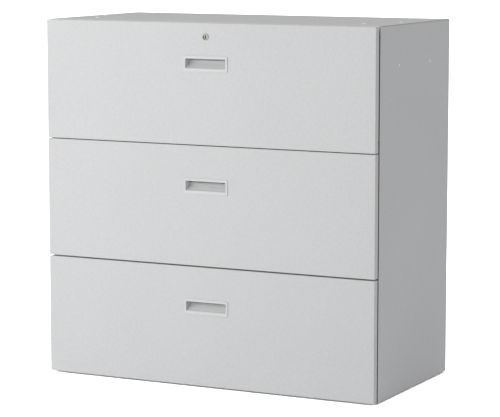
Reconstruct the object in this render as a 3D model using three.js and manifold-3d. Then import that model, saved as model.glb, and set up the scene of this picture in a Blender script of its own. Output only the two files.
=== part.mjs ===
// A lateral filing cabinet: three drawers on telescopic slides, a recessed pull in each front, and a
// cylinder lock that lifts a locking bar behind the right edge of the drawers.
// Millimetres, +Z up. The origin lies on the floor under the middle of the cabinet, and the fronts face -Y.

import * as THREE from 'three';
import { mergeVertices } from 'three/addons/utils/BufferGeometryUtils.js';
import Module from 'manifold-3d';

const wasm = await Module();
wasm.setup();

// Overall size.
const WIDTH = 880;
const DEPTH = 450; // from the rims of the pulls to the back panel
const HEIGHT = 880; // from the floor to the top panel
const LEVELS = ['bottom', 'middle', 'top'];
const SIDES = { left: -1, right: 1 };

// Sheet metal and clearances.
const SHEET = 1;
const FIT = 0.3; // between pieces that touch on the real cabinet
const FOOT_GAP = 4; // under the case
const FRONT_GAP = 7; // between the drawer fronts and the case, taken up by buffers
const FRONT_MARGIN = 1; // fronts to the upper and lower edge of the case
const SEAM_GAP = 2; // between two drawer fronts
const OVERCUT = 1; // how far a cutting tool runs past the face that it opens

// Drawer fronts.
const FRONT_THICK = 16;
const FRONT_EDGE = 2; // bend radius round the front face

// Recessed pull.
const PULL_DROP = 97; // middle of the pull below the top of its front
const RIM_WIDTH = 118;
const RIM_HEIGHT = 38;
const RIM_PROUD = 2;
const RIM_CORNER = 5;
const RIM_EDGE = 0.8;
const PULL_WIDTH = 107;
const PULL_HEIGHT = 28;
const PULL_CORNER = 3;
const PULL_DEPTH = 24; // front face to the back of the hollow
const PULL_WALL = 1.5;
const LIP_DEPTH = 6; // thickness of the lip that the fingers pull on
const HOOK_RISE = 2; // how far the hollow climbs behind the lip
const FLOOR_RISE = 6; // how far the floor of the hollow curves up towards the back

// Case.
const SIDE_FLANGE = 25; // side panel's front flange
const FLANGE_SETBACK = 13; // front flange and rails behind the front edges of the case
const REAR_FLANGE = 15;
const TOP_FLANGE = 12; // side panel's flange under the top panel
const LID_FLANGE = 11; // top panel's front flange
const BASE_HEIGHT = 26; // base pan
const RAIL_DEPTH = 25;
const RAIL_HEIGHT = 20;
const TOP_RAIL_RISE = 9; // underside of the top rail above the lock's axis
const POST_GAUGE = 1.5;
const POST_WIDTH = 30;
const FRONT_POST_SETBACK = 7;
const REAR_POST_SETBACK = 30;

// Levelling feet.
const FOOT_RADIUS = 20;
const FOOT_PAD = 6;
const STEM_RADIUS = 5;
const STEM_ABOVE = 3; // stem above the base pan
const FOOT_INSET_X = 60;
const FOOT_INSET_Y = 50;
const NUT_BOSS_RADIUS = 9;
const NUT_BOSS_HEIGHT = 8;

// Plugs in the connecting holes of the top panel.
const PLUG_RADIUS = 5;
const PLUG_FLANGE_RADIUS = 7;
const PLUG_LENGTH = 7;
const PLUG_SUNK = 0.2;
const MID_PLUG_INSET_X = 34;
const MID_PLUG_SETBACK = 223; // from the rear edge of the top panel
const REAR_PLUG_INSET_X = 80;
const REAR_PLUG_SETBACK = 55;

// Drawer trays, measured up from the lower edge of their front.
const TRAY_MARGIN = 40; // side of the case to side of the tray
const TRAY_REAR_GAP = 30; // back of the tray to the back panel
const TRAY_FLOOR = 30;
const TRAY_TOP = 230;
const TRAY_FRONT_TOP = 160;
const TRAY_HEM = 10;
const FOLDER_SPAN = 330; // between the hanging rails
const HANGER_SETBACK = 35;
const HANGER_THICK = 3;
const HANGER_HEIGHT = 12;

// Telescopic slides: three channels, one inside the other.
const SLIDE_LEVEL = 95; // middle of the slide above the lower edge of the front
const SLIDE_HEIGHT = 45;
const SLIDE_THICK = 12.4;
const SLIDE_GAUGE = 1.2;
const SLIDE_SETBACK = 4; // outer member behind the front of the case
const SLIDE_REAR_GAP = 22; // outer member to the back panel
const SLIDE_STEP = 2; // each inner member starts this much further forward
const RACE_GAP = 0.6; // running clearance between two members

// Cylinder lock, on the middle of the top drawer.
const LOCK_DROP = 33;
const LOCK_FLANGE_RADIUS = 8.4;
const LOCK_BARREL_RADIUS = 7;
const LOCK_PROUD = 2;
const KEY_PLUG_RADIUS = 5.3;
const KEY_PLUG_SUNK = 3;
const KEYWAY_WIDTH = 2.4;
const KEYWAY_HEIGHT = 7;
const KEYWAY_DEPTH = 10;
const LOCK_NUT_RADIUS = 12;
const LOCK_NUT_THICK = 3;
const CAM_SETBACK = 2; // cam behind the front of the case
const CAM_THICK = 2.5;
const CAM_BOSS_RADIUS = 7;
const CAM_REACH = 20;
const CAM_WIDTH = 10;

// Locking bar: an arm over the cam, a strip down the right side and a hook for each drawer.
const BAR_THICK = 2.5;
const BAR_GAP = 0.5; // bar behind the front flanges
const BAR_WIDTH = 16;
const BAR_INSET = 6; // strip inside the side of the case
const BAR_TAIL = 30; // strip below the lowest hook
const ARM_RISE = 14.4; // underside of the arm above the lock's axis
const ARM_HEIGHT = 8;
const ARM_OVERHANG = 10; // arm past the lock's axis
const HOOK_HEIGHT = 9;
const HOOK_LENGTH = 12;
const HOOK_CLEARANCE = 2; // unlocked hook below its catch
const CATCH_LEVEL = 180; // underside of the catch above the lower edge of the front
const CATCH_LENGTH = 11;
const CATCH_HEIGHT = 8;
const CATCH_SETBACK = 3; // catch behind the locking bar
const CATCH_THICK = 5;
const GUIDE_HEIGHT = 12;
const GUIDE_LIFT = 6; // guide above the lower end of the bar

// Facets, and the grid that all corners lie on.
const GRID = 0.001;
const ROUND_STEPS = 24;
const ARC_STEPS = 5;
const EDGE_STEPS = 3;
const HEX_STEPS = 6;

// Planes and levels that the pieces share.
const FACE_Y = RIM_PROUD - DEPTH / 2;
const FRONT_BACK_Y = FACE_Y + FRONT_THICK;
const CASE_EDGE_Y = FRONT_BACK_Y + FRONT_GAP;
const CASE_FRONT_Y = CASE_EDGE_Y + FLANGE_SETBACK;
const CASE_BACK_Y = DEPTH / 2;
const CASE_HALF = WIDTH / 2;
const BACK_INNER_Y = CASE_BACK_Y - SHEET;
const PANEL_BACK_Y = BACK_INNER_Y - FIT;
const LID_UNDER_Z = HEIGHT - SHEET;
const BASE_TOP_Z = FOOT_GAP + BASE_HEIGHT;
const SIDE_INNER_X = CASE_HALF - SHEET;
const FLANGE_EDGE_X = CASE_HALF - SIDE_FLANGE;
const RAIL_HALF = FLANGE_EDGE_X - FIT;
const SEAMS = LEVELS.length - 1;
const FRONTS_HEIGHT = HEIGHT - FOOT_GAP - 2 * FRONT_MARGIN;
const FRONT_HEIGHT = (FRONTS_HEIGHT - SEAMS * SEAM_GAP) / LEVELS.length;
const FRONT_PITCH = FRONT_HEIGHT + SEAM_GAP;
const FRONTS_BOTTOM_Z = FOOT_GAP + FRONT_MARGIN;
const LINER_FRONT_Y = FRONT_BACK_Y - SHEET;
const TRAY_HALF = CASE_HALF - TRAY_MARGIN;
const TRAY_FRONT_Y = FRONT_BACK_Y + FIT;
const TRAY_BACK_Y = BACK_INNER_Y - TRAY_REAR_GAP;
const POST_X = TRAY_HALF + SLIDE_THICK + 2 * FIT;
const POST_OUTER_X = CASE_HALF - SHEET - FIT;
const RAIL_FLANGE_HALF = POST_X - FIT; // the rails' flanges end at the uprights
const PULL_LEVEL = FRONT_HEIGHT - PULL_DROP;
const LOCK_LEVEL = FRONT_HEIGHT - LOCK_DROP;
const LOCK_Z = FRONTS_BOTTOM_Z + SEAMS * FRONT_PITCH + LOCK_LEVEL;
const CAM_FRONT_Y = CASE_FRONT_Y + CAM_SETBACK + FIT;
const BAR_FRONT_Y = CASE_FRONT_Y + SHEET + BAR_GAP;
const BAR_BACK_Y = BAR_FRONT_Y + BAR_THICK;
const STRIP_X = CASE_HALF - BAR_INSET - BAR_WIDTH;
const HOOK_TOP = CATCH_LEVEL - HOOK_CLEARANCE;
const BAR_BOTTOM_Z = FRONTS_BOTTOM_Z + HOOK_TOP - HOOK_HEIGHT - BAR_TAIL;

const X_AXIS = new THREE.Vector3(1, 0, 0);
const Y_AXIS = new THREE.Vector3(0, 1, 0);
const Z_AXIS = new THREE.Vector3(0, 0, 1);

// Puts a coordinate on a fine grid, so that faces meant to be flush are exactly flush.
function snap(coordinate) {
  return Math.round(coordinate / GRID) * GRID;
}

// A closed three.js geometry as a solid that can be joined and cut.
function solidOf(geometry) {
  geometry.deleteAttribute('normal');
  geometry.deleteAttribute('uv');
  const merged = mergeVertices(geometry);
  const vertProperties = Float32Array.from(merged.attributes.position.array, snap);
  const triVerts = Uint32Array.from(merged.index.array);
  return new wasm.Manifold(new wasm.Mesh({ numProp: 3, vertProperties, triVerts }));
}

// The three.js geometry of a finished solid, without the leftover corners inside its flat faces.
function geometryOf(solid) {
  const mesh = solid.asOriginal().simplify(GRID).getMesh();
  const geometry = new THREE.BufferGeometry();
  geometry.setAttribute('position', new THREE.BufferAttribute(mesh.vertProperties, mesh.numProp));
  geometry.setIndex(new THREE.BufferAttribute(mesh.triVerts, 1));
  geometry.computeVertexNormals();
  return geometry;
}

function join(first, ...rest) {
  return rest.reduce((body, piece) => body.add(piece), first);
}

function cut(body, ...tools) {
  return tools.reduce((rest, tool) => rest.subtract(tool), body);
}

// A block between two coordinates on each axis, given in either order.
function block([xa, xb], [ya, yb], [za, zb]) {
  const geometry = new THREE.BoxGeometry(Math.abs(xb - xa), Math.abs(yb - ya), Math.abs(zb - za));
  geometry.translate((xa + xb) / 2, (ya + yb) / 2, (za + zb) / 2);
  return solidOf(geometry);
}

// A round bar along Y from one depth to another.
function barY(radius, [ya, yb], x, z, steps = ROUND_STEPS) {
  const geometry = new THREE.CylinderGeometry(radius, radius, yb - ya, steps);
  geometry.translate(x, (ya + yb) / 2, z);
  return solidOf(geometry);
}

// A round bar along Z from one height to another.
function barZ(radius, [za, zb], x, y, steps = ROUND_STEPS) {
  const geometry = new THREE.CylinderGeometry(radius, radius, zb - za, steps);
  geometry.rotateX(Math.PI / 2);
  geometry.translate(x, y, (za + zb) / 2);
  return solidOf(geometry);
}

function roundedRect(width, height, corner, x = 0, z = 0) {
  const shape = new THREE.Shape();
  const reachX = width / 2 - corner;
  const reachZ = height / 2 - corner;
  shape.absarc(x + reachX, z + reachZ, corner, 0, Math.PI / 2, false);
  shape.absarc(x - reachX, z + reachZ, corner, Math.PI / 2, Math.PI, false);
  shape.absarc(x - reachX, z - reachZ, corner, Math.PI, 1.5 * Math.PI, false);
  shape.absarc(x + reachX, z - reachZ, corner, 1.5 * Math.PI, 2 * Math.PI, false);
  shape.closePath();
  return shape;
}

// An outline drawn in X and Z, given a thickness along Y.
function plate(shape, [yFront, yBack]) {
  const options = { depth: yBack - yFront, bevelEnabled: false, curveSegments: ARC_STEPS };
  const geometry = new THREE.ExtrudeGeometry(shape, options);
  geometry.rotateX(Math.PI / 2);
  geometry.translate(0, yBack, 0);
  return solidOf(geometry);
}

// The same plate with its front edges rounded.
function softPlate(shape, [yFront, yBack], edge) {
  const options = {
    depth: yBack - yFront - edge,
    bevelEnabled: true,
    bevelThickness: edge,
    bevelSize: edge,
    bevelOffset: -edge,
    bevelSegments: EDGE_STEPS,
    curveSegments: ARC_STEPS,
  };
  const geometry = new THREE.ExtrudeGeometry(shape, options);
  geometry.rotateX(Math.PI / 2);
  geometry.translate(0, yBack, 0);
  const behind = block([-WIDTH, WIDTH], [yBack, yBack + 2 * edge], [-HEIGHT, HEIGHT]);
  return cut(solidOf(geometry), behind);
}

// An outline drawn in Y and Z, drawn out along X.
function prismX(shape, [xa, xb]) {
  const options = { depth: xb - xa, bevelEnabled: false, curveSegments: ARC_STEPS };
  const geometry = new THREE.ExtrudeGeometry(shape, options);
  geometry.applyMatrix4(new THREE.Matrix4().makeBasis(Y_AXIS, Z_AXIS, X_AXIS));
  geometry.translate(xa, 0, 0);
  return solidOf(geometry);
}

const PAINT = { color: 0xd9dbdc, roughness: 0.5, metalness: 0.1 };
const ZINC = { color: 0xa9adb0, roughness: 0.35, metalness: 0.9 };
const NICKEL = { color: 0xc4c2bc, roughness: 0.25, metalness: 1 };
const PULL_PLASTIC = { color: 0xcfd2d4, roughness: 0.45, metalness: 0 };
const PLUG_PLASTIC = { color: 0xf2f2f0, roughness: 0.5, metalness: 0 };
const FOOT_PLASTIC = { color: 0x26272a, roughness: 0.7, metalness: 0 };

function place(group, name, solid, look) {
  const mesh = new THREE.Mesh(geometryOf(solid), new THREE.MeshStandardMaterial(look));
  mesh.name = name;
  group.add(mesh);
}

// Case.

function sidePanel(side) {
  const outer = side * CASE_HALF;
  const heights = [FOOT_GAP, LID_UNDER_Z - FIT];
  const skin = block([outer, side * SIDE_INNER_X], [CASE_EDGE_Y, PANEL_BACK_Y], heights);
  const frontFlange = block([outer, side * FLANGE_EDGE_X], [CASE_FRONT_Y, CASE_FRONT_Y + SHEET], heights);
  const rearX = [outer, side * (CASE_HALF - REAR_FLANGE)];
  const rearFlange = block(rearX, [PANEL_BACK_Y - SHEET, PANEL_BACK_Y], heights);
  const topX = [outer, side * (CASE_HALF - TOP_FLANGE)];
  const topY = [CASE_EDGE_Y + SHEET + FIT, PANEL_BACK_Y];
  const topFlange = block(topX, topY, [heights[1] - SHEET, heights[1]]);
  return join(skin, frontFlange, rearFlange, topFlange);
}

const PLUG_PLACES = [];
for (const side of Object.values(SIDES)) {
  PLUG_PLACES.push([side * (CASE_HALF - MID_PLUG_INSET_X), CASE_BACK_Y - MID_PLUG_SETBACK]);
  PLUG_PLACES.push([side * (CASE_HALF - REAR_PLUG_INSET_X), CASE_BACK_Y - REAR_PLUG_SETBACK]);
}

function topPanel() {
  const skin = block([-CASE_HALF, CASE_HALF], [CASE_EDGE_Y, PANEL_BACK_Y], [LID_UNDER_Z, HEIGHT]);
  const frontHalf = SIDE_INNER_X - FIT;
  const frontY = [CASE_EDGE_Y, CASE_EDGE_Y + SHEET];
  const frontFlange = block([-frontHalf, frontHalf], frontY, [HEIGHT - LID_FLANGE, HEIGHT]);
  const rearHalf = CASE_HALF - REAR_FLANGE - FIT;
  const rearY = [PANEL_BACK_Y - SHEET, PANEL_BACK_Y];
  const rearFlange = block([-rearHalf, rearHalf], rearY, [HEIGHT - REAR_FLANGE, HEIGHT]);
  const through = [LID_UNDER_Z - OVERCUT, HEIGHT + OVERCUT];
  const holes = PLUG_PLACES.map(([x, y]) => barZ(PLUG_RADIUS + FIT, through, x, y));
  return cut(join(skin, frontFlange, rearFlange), ...holes);
}

function topPlug([x, y]) {
  const head = HEIGHT - PLUG_SUNK;
  const body = barZ(PLUG_RADIUS, [head - PLUG_LENGTH, head], x, y);
  const under = LID_UNDER_Z - FIT;
  const flange = barZ(PLUG_FLANGE_RADIUS, [under - SHEET, under], x, y);
  return join(body, flange);
}

function backPanel() {
  return block([-CASE_HALF, CASE_HALF], [BACK_INNER_Y, CASE_BACK_Y], [FOOT_GAP, HEIGHT]);
}

const FOOT_PLACES = {};
for (const [hand, side] of Object.entries(SIDES)) {
  const x = side * (CASE_HALF - FOOT_INSET_X);
  FOOT_PLACES[`front_${hand}`] = [x, CASE_EDGE_Y + FOOT_INSET_Y];
  FOOT_PLACES[`rear_${hand}`] = [x, CASE_BACK_Y - FOOT_INSET_Y];
}

function bottomPanel() {
  const half = CASE_HALF - SHEET - FIT;
  const depths = [CASE_FRONT_Y + SHEET + FIT, PANEL_BACK_Y - SHEET - FIT];
  const pan = block([-half, half], depths, [FOOT_GAP, BASE_TOP_Z]);
  const hollowY = [depths[0] + SHEET, depths[1] - SHEET];
  const hollow = block([SHEET - half, half - SHEET], hollowY, [FOOT_GAP - OVERCUT, BASE_TOP_Z - SHEET]);
  const under = BASE_TOP_Z - SHEET;
  const places = Object.values(FOOT_PLACES);
  const bossZ = [under - NUT_BOSS_HEIGHT, under + SHEET / 2];
  const bosses = places.map(([x, y]) => barZ(NUT_BOSS_RADIUS, bossZ, x, y));
  const through = [under - NUT_BOSS_HEIGHT - OVERCUT, BASE_TOP_Z + OVERCUT];
  const threads = places.map(([x, y]) => barZ(STEM_RADIUS + FIT, through, x, y));
  return cut(join(cut(pan, hollow), ...bosses), ...threads);
}

function foot([x, y]) {
  const pad = barZ(FOOT_RADIUS, [0, FOOT_PAD], x, y);
  const stem = barZ(STEM_RADIUS, [FOOT_PAD / 2, BASE_TOP_Z + STEM_ABOVE], x, y);
  return join(pad, stem);
}

// The rail under the top panel has a notch in its lower flange for the cam to swing through.
function topRail() {
  const low = LOCK_Z + TOP_RAIL_RISE;
  const high = LID_UNDER_Z - FIT;
  const web = block([-RAIL_HALF, RAIL_HALF], [CASE_FRONT_Y, CASE_FRONT_Y + SHEET], [low, high]);
  const flangeX = [-RAIL_FLANGE_HALF, RAIL_FLANGE_HALF];
  const flange = block(flangeX, [CASE_FRONT_Y, CASE_FRONT_Y + RAIL_DEPTH], [low, low + SHEET]);
  const notchX = [-CAM_REACH - CAM_BOSS_RADIUS, CAM_REACH];
  const notchY = [CASE_FRONT_Y + SHEET, CAM_FRONT_Y + 3 * CAM_THICK];
  const notch = block(notchX, notchY, [low - OVERCUT, low + SHEET + OVERCUT]);
  return cut(join(web, flange), notch);
}

// A channel behind a seam, open to the back.
function dividerRail(seam) {
  const middle = FRONTS_BOTTOM_Z + seam * FRONT_PITCH - SEAM_GAP / 2;
  const heights = [middle - RAIL_HEIGHT / 2, middle + RAIL_HEIGHT / 2];
  const web = block([-RAIL_HALF, RAIL_HALF], [CASE_FRONT_Y, CASE_FRONT_Y + SHEET], heights);
  const flangeX = [-RAIL_FLANGE_HALF, RAIL_FLANGE_HALF];
  const bar = block(flangeX, [CASE_FRONT_Y, CASE_FRONT_Y + RAIL_DEPTH], heights);
  const hollowX = [-RAIL_HALF, RAIL_HALF];
  const hollowY = [CASE_FRONT_Y + SHEET, CASE_FRONT_Y + RAIL_DEPTH + OVERCUT];
  const hollow = block(hollowX, hollowY, [heights[0] + SHEET, heights[1] - SHEET]);
  return cut(join(web, bar), hollow);
}

// A channel between the base and the top panel, whose web carries the slides.
function upright(side, yFront) {
  const heights = [BASE_TOP_Z + FIT, LID_UNDER_Z - SHEET - 2 * FIT];
  const depths = [yFront, yFront + POST_WIDTH];
  const channel = block([side * POST_X, side * POST_OUTER_X], depths, heights);
  const hollowX = [side * (POST_X + POST_GAUGE), side * (POST_OUTER_X + OVERCUT)];
  const hollowY = [depths[0] + POST_GAUGE, depths[1] - POST_GAUGE];
  const hollowZ = [heights[0] - OVERCUT, heights[1] + OVERCUT];
  return cut(channel, block(hollowX, hollowY, hollowZ));
}

// Slides, drawn about the lower edge of their drawer's front.

// One member: a channel of a given height with its web on one side and its flanges reaching to the other.
function slideMember(webX, flangeX, height, yFront) {
  const inwards = Math.sign(flangeX - webX);
  const depths = [yFront, yFront + SLIDE_LENGTH];
  const heights = [SLIDE_LEVEL - height / 2, SLIDE_LEVEL + height / 2];
  const channel = block([webX, flangeX], depths, heights);
  const hollowX = [webX + inwards * SLIDE_GAUGE, flangeX + inwards * OVERCUT];
  const hollowY = [depths[0] - OVERCUT, depths[1] + OVERCUT];
  const hollowZ = [heights[0] + SLIDE_GAUGE, heights[1] - SLIDE_GAUGE];
  return cut(channel, block(hollowX, hollowY, hollowZ));
}

const NEST = SLIDE_GAUGE + RACE_GAP;
const SLIDE_OUTER_X = POST_X - FIT;
const SLIDE_INNER_X = TRAY_HALF + FIT;
const SLIDE_FRONT_Y = CASE_FRONT_Y + SLIDE_SETBACK;
const SLIDE_LENGTH = BACK_INNER_Y - SLIDE_REAR_GAP - SLIDE_FRONT_Y;

function outerSlide(side) {
  const lip = SLIDE_INNER_X + SLIDE_GAUGE;
  return slideMember(side * SLIDE_OUTER_X, side * lip, SLIDE_HEIGHT, SLIDE_FRONT_Y);
}

function middleSlide(side) {
  const web = SLIDE_OUTER_X - NEST;
  const lip = SLIDE_INNER_X + SLIDE_GAUGE;
  return slideMember(side * web, side * lip, SLIDE_HEIGHT - 2 * NEST, SLIDE_FRONT_Y - SLIDE_STEP);
}

function innerSlide(side) {
  const lip = SLIDE_OUTER_X - 2 * NEST;
  const height = SLIDE_HEIGHT - 4 * NEST;
  return slideMember(side * SLIDE_INNER_X, side * lip, height, SLIDE_FRONT_Y - 2 * SLIDE_STEP);
}

// Drawers, drawn about the lower edge of their front.

// The opening for the pull in the front and its liner.
function pullOpening() {
  const width = PULL_WIDTH + 2 * PULL_WALL + 2 * FIT;
  const top = PULL_LEVEL + PULL_HEIGHT / 2 + HOOK_RISE + PULL_WALL + FIT;
  const low = PULL_LEVEL - PULL_HEIGHT / 2 - PULL_WALL - FIT;
  return block([-width / 2, width / 2], [FACE_Y - OVERCUT, FRONT_BACK_Y + OVERCUT], [low, top]);
}

function lockOpening(radius) {
  return barY(radius, [FACE_Y - OVERCUT, FRONT_BACK_Y + OVERCUT], 0, LOCK_LEVEL);
}

function frontShell(level) {
  const outline = new THREE.Shape();
  outline.moveTo(-CASE_HALF, 0);
  outline.lineTo(CASE_HALF, 0);
  outline.lineTo(CASE_HALF, FRONT_HEIGHT);
  outline.lineTo(-CASE_HALF, FRONT_HEIGHT);
  outline.closePath();
  const slab = softPlate(outline, [FACE_Y, FRONT_BACK_Y], FRONT_EDGE);
  const hollowX = [SHEET - CASE_HALF, CASE_HALF - SHEET];
  const hollowY = [FACE_Y + SHEET, FRONT_BACK_Y + OVERCUT];
  const pan = cut(slab, block(hollowX, hollowY, [SHEET, FRONT_HEIGHT - SHEET]), pullOpening());
  return level === 'top' ? cut(pan, lockOpening(LOCK_BARREL_RADIUS + FIT)) : pan;
}

function frontLiner(level) {
  const half = CASE_HALF - SHEET - FIT;
  const heights = [SHEET + FIT, FRONT_HEIGHT - SHEET - FIT];
  const sheet = cut(block([-half, half], [LINER_FRONT_Y, FRONT_BACK_Y], heights), pullOpening());
  return level === 'top' ? cut(sheet, lockOpening(LOCK_BARREL_RADIUS + FIT)) : sheet;
}

// A moulded cup: a rim on the front face, and a hollow whose floor curves up and which climbs behind the lip.
function pull() {
  const rimY = [FACE_Y - RIM_PROUD, FACE_Y - FIT];
  const rim = softPlate(roundedRect(RIM_WIDTH, RIM_HEIGHT, RIM_CORNER, 0, PULL_LEVEL), rimY, RIM_EDGE);
  const low = PULL_LEVEL - PULL_HEIGHT / 2;
  const lip = PULL_LEVEL + PULL_HEIGHT / 2;
  const top = lip + HOOK_RISE;
  const back = FACE_Y + PULL_DEPTH;
  const lipY = FACE_Y + LIP_DEPTH;
  const cupHalf = PULL_WIDTH / 2 + PULL_WALL;
  const cupY = [FACE_Y - 2 * FIT, back + PULL_WALL];
  const cup = block([-cupHalf, cupHalf], cupY, [low - PULL_WALL, top + PULL_WALL]);
  const mouthShape = roundedRect(PULL_WIDTH, PULL_HEIGHT, PULL_CORNER, 0, PULL_LEVEL);
  const mouth = plate(mouthShape, [rimY[0] - OVERCUT, lipY]);
  const section = new THREE.Shape();
  section.moveTo(lipY - FIT, low + PULL_CORNER);
  section.lineTo(lipY, low);
  section.quadraticCurveTo(back, low, back, low + FLOOR_RISE);
  section.lineTo(back, top);
  section.lineTo(lipY, top);
  section.lineTo(lipY - FIT, lip - PULL_CORNER);
  section.closePath();
  const hollow = prismX(section, [-PULL_WIDTH / 2, PULL_WIDTH / 2]);
  return cut(join(rim, cup), mouth, hollow);
}

// A welded tray with hems along its sides and back, a lower front wall and a catch for the locking bar.
function tray() {
  const inside = TRAY_HALF - SHEET;
  const body = block([-TRAY_HALF, TRAY_HALF], [TRAY_FRONT_Y, TRAY_BACK_Y], [TRAY_FLOOR, TRAY_TOP]);
  const insideY = [TRAY_FRONT_Y + SHEET, TRAY_BACK_Y - SHEET];
  const room = block([-inside, inside], insideY, [TRAY_FLOOR + SHEET, TRAY_TOP - SHEET]);
  const hemX = [TRAY_HEM - TRAY_HALF, TRAY_HALF - TRAY_HEM];
  const hemY = [TRAY_FRONT_Y - OVERCUT, TRAY_BACK_Y - TRAY_HEM];
  const mouth = block(hemX, hemY, [TRAY_TOP - SHEET - OVERCUT, TRAY_TOP + OVERCUT]);
  const overFrontY = [TRAY_FRONT_Y - OVERCUT, insideY[0]];
  const overFront = block([-inside, inside], overFrontY, [TRAY_FRONT_TOP, TRAY_TOP - SHEET]);
  const catchY = [BAR_BACK_Y + CATCH_SETBACK, BAR_BACK_Y + CATCH_SETBACK + CATCH_THICK];
  const catchX = [TRAY_HALF - SHEET / 2, TRAY_HALF + CATCH_LENGTH];
  const catchTab = block(catchX, catchY, [CATCH_LEVEL, CATCH_LEVEL + CATCH_HEIGHT]);
  return join(cut(body, room, mouth, overFront), catchTab);
}

// A welded frame under the hems, whose long bars carry the hanging folders.
function hangerFrame() {
  const half = TRAY_HALF - SHEET - FIT;
  const top = TRAY_TOP - SHEET - FIT;
  const front = TRAY_FRONT_Y + HANGER_SETBACK;
  const depths = [front, front + FOLDER_SPAN];
  const bars = block([-half, half], depths, [top - HANGER_HEIGHT, top]);
  const gapX = [HANGER_THICK - half, half - HANGER_THICK];
  const gapY = [depths[0] + HANGER_THICK, depths[1] - HANGER_THICK];
  return cut(bars, block(gapX, gapY, [top - HANGER_HEIGHT - OVERCUT, top + OVERCUT]));
}

// Lock, drawn about the lower edge of the top drawer's front.

const BARREL_BACK_Y = CASE_FRONT_Y - OVERCUT;

function lockHousing() {
  const flange = barY(LOCK_FLANGE_RADIUS, [FACE_Y - LOCK_PROUD, FACE_Y - FIT], 0, LOCK_LEVEL);
  const barrel = barY(LOCK_BARREL_RADIUS, [FACE_Y - 2 * FIT, BARREL_BACK_Y], 0, LOCK_LEVEL);
  const bore = [FACE_Y - LOCK_PROUD - OVERCUT, BARREL_BACK_Y + OVERCUT];
  return cut(join(flange, barrel), barY(KEY_PLUG_RADIUS + FIT, bore, 0, LOCK_LEVEL));
}

function lockNut() {
  const front = FACE_Y + SHEET + FIT;
  const ends = [front, front + LOCK_NUT_THICK];
  const bore = barY(LOCK_BARREL_RADIUS + FIT, [ends[0] - OVERCUT, ends[1] + OVERCUT], 0, LOCK_LEVEL);
  return cut(barY(LOCK_NUT_RADIUS, ends, 0, LOCK_LEVEL, HEX_STEPS), bore);
}

function lockPlug() {
  const front = FACE_Y - LOCK_PROUD + KEY_PLUG_SUNK;
  const core = barY(KEY_PLUG_RADIUS, [front, CAM_FRONT_Y - FIT], 0, LOCK_LEVEL);
  const keywayX = [-KEYWAY_WIDTH / 2, KEYWAY_WIDTH / 2];
  const keywayZ = [LOCK_LEVEL - KEYWAY_HEIGHT / 2, LOCK_LEVEL + KEYWAY_HEIGHT / 2];
  return cut(core, block(keywayX, [front - OVERCUT, front + KEYWAY_DEPTH], keywayZ));
}

function lockCam() {
  const depths = [CAM_FRONT_Y, CAM_FRONT_Y + CAM_THICK];
  const boss = barY(CAM_BOSS_RADIUS, depths, 0, LOCK_LEVEL);
  const tipX = CAM_WIDTH / 2 - CAM_REACH;
  const tongue = block([tipX, 0], depths, [LOCK_LEVEL - CAM_WIDTH / 2, LOCK_LEVEL + CAM_WIDTH / 2]);
  const tip = barY(CAM_WIDTH / 2, depths, tipX, LOCK_LEVEL);
  return join(boss, tongue, tip);
}

// Locking bar, in the frame of the case.
function lockBar() {
  const depths = [BAR_FRONT_Y, BAR_BACK_Y];
  const armTop = LOCK_Z + ARM_RISE + ARM_HEIGHT;
  const stripX = [STRIP_X, STRIP_X + BAR_WIDTH];
  const strip = block(stripX, depths, [BAR_BOTTOM_Z, armTop]);
  const arm = block([-ARM_OVERHANG, stripX[1]], depths, [LOCK_Z + ARM_RISE, armTop]);
  const hooks = LEVELS.map((level, index) => {
    const top = FRONTS_BOTTOM_Z + index * FRONT_PITCH + HOOK_TOP;
    return block([STRIP_X - HOOK_LENGTH, STRIP_X + SHEET], depths, [top - HOOK_HEIGHT, top]);
  });
  return join(strip, arm, ...hooks);
}

function lockBarGuide() {
  const heights = [BAR_BOTTOM_Z + GUIDE_LIFT, BAR_BOTTOM_Z + GUIDE_LIFT + GUIDE_HEIGHT];
  const slotX = [STRIP_X - BAR_GAP, STRIP_X + BAR_WIDTH + BAR_GAP];
  const legFront = CASE_FRONT_Y + SHEET + FIT;
  const slotBack = BAR_BACK_Y + BAR_GAP;
  const body = block([slotX[0] - SHEET, slotX[1] + SHEET], [legFront, slotBack + SHEET], heights);
  const slot = block(slotX, [legFront - OVERCUT, slotBack], [heights[0] - OVERCUT, heights[1] + OVERCUT]);
  return cut(body, slot);
}

// Assembly.

const cabinet = new THREE.Group();

const casing = new THREE.Group();
cabinet.add(casing);
place(casing, 'top_panel', topPanel(), PAINT);
place(casing, 'bottom_panel', bottomPanel(), PAINT);
place(casing, 'back_panel', backPanel(), PAINT);
place(casing, 'top_front_rail', topRail(), PAINT);
place(casing, 'lower_divider_rail', dividerRail(1), PAINT);
place(casing, 'upper_divider_rail', dividerRail(2), PAINT);
PLUG_PLACES.forEach((spot, index) => place(casing, `top_plug_${index + 1}`, topPlug(spot), PLUG_PLASTIC));
for (const [corner, spot] of Object.entries(FOOT_PLACES)) {
  place(casing, `foot_${corner}`, foot(spot), FOOT_PLASTIC);
}
for (const [hand, side] of Object.entries(SIDES)) {
  place(casing, `${hand}_side_panel`, sidePanel(side), PAINT);
  place(casing, `${hand}_front_upright`, upright(side, CASE_FRONT_Y + FRONT_POST_SETBACK), ZINC);
  place(casing, `${hand}_rear_upright`, upright(side, CASE_BACK_Y - REAR_POST_SETBACK - POST_WIDTH), ZINC);
}
place(casing, 'lock_bar', lockBar(), ZINC);
place(casing, 'lock_bar_guide', lockBarGuide(), ZINC);

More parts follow.
